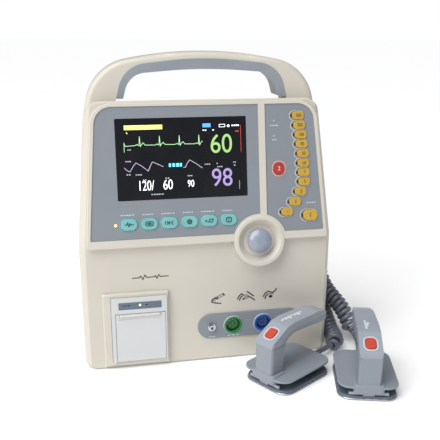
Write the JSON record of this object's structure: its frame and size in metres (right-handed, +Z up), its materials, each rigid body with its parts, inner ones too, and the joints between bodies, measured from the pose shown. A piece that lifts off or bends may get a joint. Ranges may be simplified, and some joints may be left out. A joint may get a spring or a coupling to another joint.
{
  "type": "defibrillator",
  "caption": "Portable bedside defibrillator and monitor with a carrying handle, a leaning control panel, a strip-chart printer and two handheld paddles on curly cords.",
  "frame": {"origin": "centre of the unit's base, on the surface that it and its paddles stand on", "axes": "+X to the right of someone facing the screen, +Y away from them, +Z up"},
  "size_m": [0.3745, 0.2831, 0.3861],
  "materials": {
    "case_cream": "fine satin moulded",
    "panel_grey": "printed satin overlay",
    "grip_grey": "soft-touch",
    "foot_rubber": "matt",
    "screen_black": "polished, lit display behind",
    "lcd_metal": "satin",
    "board_green": "solder-masked",
    "key_cyan": "satin silicone",
    "key_yellow": "satin silicone",
    "key_red": "satin silicone",
    "lamp": "lit lens",
    "knob_grey": "satin gloss",
    "spindle_steel": "satin",
    "port_chrome": "polished",
    "socket_green": "moulded",
    "socket_blue": "moulded",
    "printer_white": "satin gloss",
    "roller_rubber": "matt",
    "paper_white": "thermal paper",
    "battery_black": "shrink-wrapped",
    "capacitor_can": "drawn can",
    "inlet_black": "moulded",
    "cord_slate": "glossy sheath",
    "paddle_light": "satin gloss moulded",
    "paddle_dark": "satin moulded",
    "button_orange": "satin silicone",
    "latch_pale": "moulded",
    "shoe_slate": "satin moulded",
    "electrode_steel": "polished rim, brushed face"
  },
  "bodies": {
    "unit": {"front_shell": "case_cream", "rear_shell": "case_cream", "handle_grip": "grip_grey", "foot_ring": "foot_rubber", "panel_bezel": "case_cream", "panel_overlay": "panel_grey", "display_window": "screen_black", "lcd_module": "lcd_metal", "main_board": "board_green", "status_leds": "lamp", "connector_plate": "panel_grey", "air_port": "port_chrome", "ecg_socket": "socket_green", "oximeter_socket": "socket_blue", "printer_body": "printer_white", "battery_pack": "battery_black", "hv_capacitor": "capacitor_can", "mains_inlet": "inlet_black", "cord_outlet": "case_cream", "cord_glands": "cord_slate", "cord_left": "cord_slate", "cord_right": "cord_slate"},
    "soft_key_1": {"soft_key_1": "key_cyan"},
    "soft_key_2": {"soft_key_2": "key_cyan"},
    "soft_key_3": {"soft_key_3": "key_cyan"},
    "soft_key_4": {"soft_key_4": "key_cyan"},
    "soft_key_5": {"soft_key_5": "key_cyan"},
    "soft_key_6": {"soft_key_6": "key_cyan"},
    "energy_key_01": {"energy_key_01": "key_yellow"},
    "energy_key_02": {"energy_key_02": "key_yellow"},
    "energy_key_03": {"energy_key_03": "key_yellow"},
    "energy_key_04": {"energy_key_04": "key_yellow"},
    "energy_key_05": {"energy_key_05": "key_yellow"},
    "energy_key_06": {"energy_key_06": "key_yellow"},
    "energy_key_07": {"energy_key_07": "key_yellow"},
    "energy_key_08": {"energy_key_08": "key_yellow"},
    "energy_key_09": {"energy_key_09": "key_yellow"},
    "energy_key_10": {"energy_key_10": "key_yellow"},
    "energy_key_11": {"energy_key_11": "key_yellow"},
    "charge_key": {"charge_key": "key_yellow"},
    "shock_key": {"shock_key": "key_red"},
    "encoder": {"encoder": "spindle_steel"},
    "knob": {"knob": "knob_grey"},
    "printer_door": {"printer_door": "printer_white"},
    "platen_roller": {"platen_roller": "roller_rubber"},
    "paper_roll": {"paper_roll": "paper_white"},
    "paddle_left": {"paddle_left_housing": "paddle_dark", "paddle_left_cover": "paddle_light", "paddle_left_gland": "cord_slate"},
    "paddle_left_shoe": {"paddle_left_shoe": "shoe_slate", "paddle_left_electrode": "electrode_steel"},
    "paddle_left_button": {"paddle_left_button": "button_orange"},
    "paddle_left_latch": {"paddle_left_latch": "latch_pale"},
    "paddle_right": {"paddle_right_housing": "paddle_dark", "paddle_right_cover": "paddle_light", "paddle_right_gland": "cord_slate"},
    "paddle_right_shoe": {"paddle_right_shoe": "shoe_slate", "paddle_right_electrode": "electrode_steel"},
    "paddle_right_button": {"paddle_right_button": "button_orange"},
    "paddle_right_latch": {"paddle_right_latch": "latch_pale"}
  },
  "joints": [
    {"name": "soft_key_1_press", "type": "slide", "parent": "unit", "child": "soft_key_1", "axis": [0, 0.9847, -0.1745], "range_m": [0, 0.0012], "stiffness_N_per_m": 400},
    {"name": "soft_key_2_press", "type": "slide", "parent": "unit", "child": "soft_key_2", "axis": [0, 0.9847, -0.1745], "range_m": [0, 0.0012], "stiffness_N_per_m": 400},
    {"name": "soft_key_3_press", "type": "slide", "parent": "unit", "child": "soft_key_3", "axis": [0, 0.9847, -0.1745], "range_m": [0, 0.0012], "stiffness_N_per_m": 400},
    {"name": "soft_key_4_press", "type": "slide", "parent": "unit", "child": "soft_key_4", "axis": [0, 0.9847, -0.1745], "range_m": [0, 0.0012], "stiffness_N_per_m": 400},
    {"name": "soft_key_5_press", "type": "slide", "parent": "unit", "child": "soft_key_5", "axis": [0, 0.9847, -0.1745], "range_m": [0, 0.0012], "stiffness_N_per_m": 400},
    {"name": "soft_key_6_press", "type": "slide", "parent": "unit", "child": "soft_key_6", "axis": [0, 0.9847, -0.1745], "range_m": [0, 0.0012], "stiffness_N_per_m": 400},
    {"name": "energy_key_01_press", "type": "slide", "parent": "unit", "child": "energy_key_01", "axis": [0, 0.9847, -0.1745], "range_m": [0, 0.0012], "stiffness_N_per_m": 400},
    {"name": "energy_key_02_press", "type": "slide", "parent": "unit", "child": "energy_key_02", "axis": [0, 0.9847, -0.1745], "range_m": [0, 0.0012], "stiffness_N_per_m": 400},
    {"name": "energy_key_03_press", "type": "slide", "parent": "unit", "child": "energy_key_03", "axis": [0, 0.9847, -0.1745], "range_m": [0, 0.0012], "stiffness_N_per_m": 400},
    {"name": "energy_key_04_press", "type": "slide", "parent": "unit", "child": "energy_key_04", "axis": [0, 0.9847, -0.1745], "range_m": [0, 0.0012], "stiffness_N_per_m": 400},
    {"name": "energy_key_05_press", "type": "slide", "parent": "unit", "child": "energy_key_05", "axis": [0, 0.9847, -0.1745], "range_m": [0, 0.0012], "stiffness_N_per_m": 400},
    {"name": "energy_key_06_press", "type": "slide", "parent": "unit", "child": "energy_key_06", "axis": [0, 0.9847, -0.1745], "range_m": [0, 0.0012], "stiffness_N_per_m": 400},
    {"name": "energy_key_07_press", "type": "slide", "parent": "unit", "child": "energy_key_07", "axis": [0, 0.9847, -0.1745], "range_m": [0, 0.0012], "stiffness_N_per_m": 400},
    {"name": "energy_key_08_press", "type": "slide", "parent": "unit", "child": "energy_key_08", "axis": [0, 0.9847, -0.1745], "range_m": [0, 0.0012], "stiffness_N_per_m": 400},
    {"name": "energy_key_09_press", "type": "slide", "parent": "unit", "child": "energy_key_09", "axis": [0, 0.9847, -0.1745], "range_m": [0, 0.0012], "stiffness_N_per_m": 400},
    {"name": "energy_key_10_press", "type": "slide", "parent": "unit", "child": "energy_key_10", "axis": [0, 0.9847, -0.1745], "range_m": [0, 0.0012], "stiffness_N_per_m": 400},
    {"name": "energy_key_11_press", "type": "slide", "parent": "unit", "child": "energy_key_11", "axis": [0, 0.9847, -0.1745], "range_m": [0, 0.0012], "stiffness_N_per_m": 400},
    {"name": "charge_key_press", "type": "slide", "parent": "unit", "child": "charge_key", "axis": [0, 0.9847, -0.1745], "range_m": [0, 0.0012], "stiffness_N_per_m": 400},
    {"name": "shock_key_press", "type": "slide", "parent": "unit", "child": "shock_key", "axis": [0, 0.9847, -0.1745], "range_m": [0, 0.0012], "stiffness_N_per_m": 400},
    {"name": "encoder_push", "type": "slide", "parent": "unit", "child": "encoder", "axis": [0, 0.9847, -0.1745], "range_m": [0, 0.0012], "stiffness_N_per_m": 600},
    {"name": "knob_turn", "type": "hinge", "parent": "encoder", "child": "knob", "pos_m": [0.0615, -0.0738, 0.16061], "axis": [0, -0.9847, 0.1745], "continuous": true},
    {"name": "printer_door_hinge", "type": "hinge", "parent": "unit", "child": "printer_door", "pos_m": [-0.0881, -0.07025, 0.0125], "axis": [1, 0, 0], "range_deg": [0, 78]},
    {"name": "platen_roller_spin", "type": "hinge", "parent": "printer_door", "child": "platen_roller", "pos_m": [-0.0881, -0.0636, 0.0696], "axis": [1, 0, 0], "continuous": true},
    {"name": "paper_roll_spin", "type": "hinge", "parent": "unit", "child": "paper_roll", "pos_m": [-0.08925, -0.04, 0.038], "axis": [1, 0, 0], "continuous": true},
    {"name": "paddle_left_lift", "type": "slide", "parent": "unit", "child": "paddle_left", "axis": [-0.2501, -0.4501, 0.8572], "range_m": [0, 0.15]},
    {"name": "paddle_left_shoe_slide", "type": "slide", "parent": "paddle_left", "child": "paddle_left_shoe", "axis": [-0.8444, -0.5357, 0], "range_m": [0, 0.045]},
    {"name": "paddle_left_button_press", "type": "slide", "parent": "paddle_left", "child": "paddle_left_button", "axis": [0.4086, 0.2592, -0.8751], "range_m": [0, 0.002], "stiffness_N_per_m": 600},
    {"name": "paddle_left_latch_push", "type": "slide", "parent": "paddle_left", "child": "paddle_left_latch", "axis": [0.8444, 0.5357, 0], "range_m": [0, 0.0025], "stiffness_N_per_m": 500},
    {"name": "paddle_right_lift", "type": "slide", "parent": "unit", "child": "paddle_right", "axis": [0.12, -0.45, 0.8849], "range_m": [0, 0.15]},
    {"name": "paddle_right_shoe_slide", "type": "slide", "parent": "paddle_right", "child": "paddle_right_shoe", "axis": [-0.2686, -0.9633, 0], "range_m": [0, 0.045]},
    {"name": "paddle_right_button_press", "type": "slide", "parent": "paddle_right", "child": "paddle_right_button", "axis": [0.13, 0.4661, -0.8751], "range_m": [0, 0.002], "stiffness_N_per_m": 600},
    {"name": "paddle_right_latch_push", "type": "slide", "parent": "paddle_right", "child": "paddle_right_latch", "axis": [0.2686, 0.9633, 0], "range_m": [0, 0.0025], "stiffness_N_per_m": 500}
  ]
}
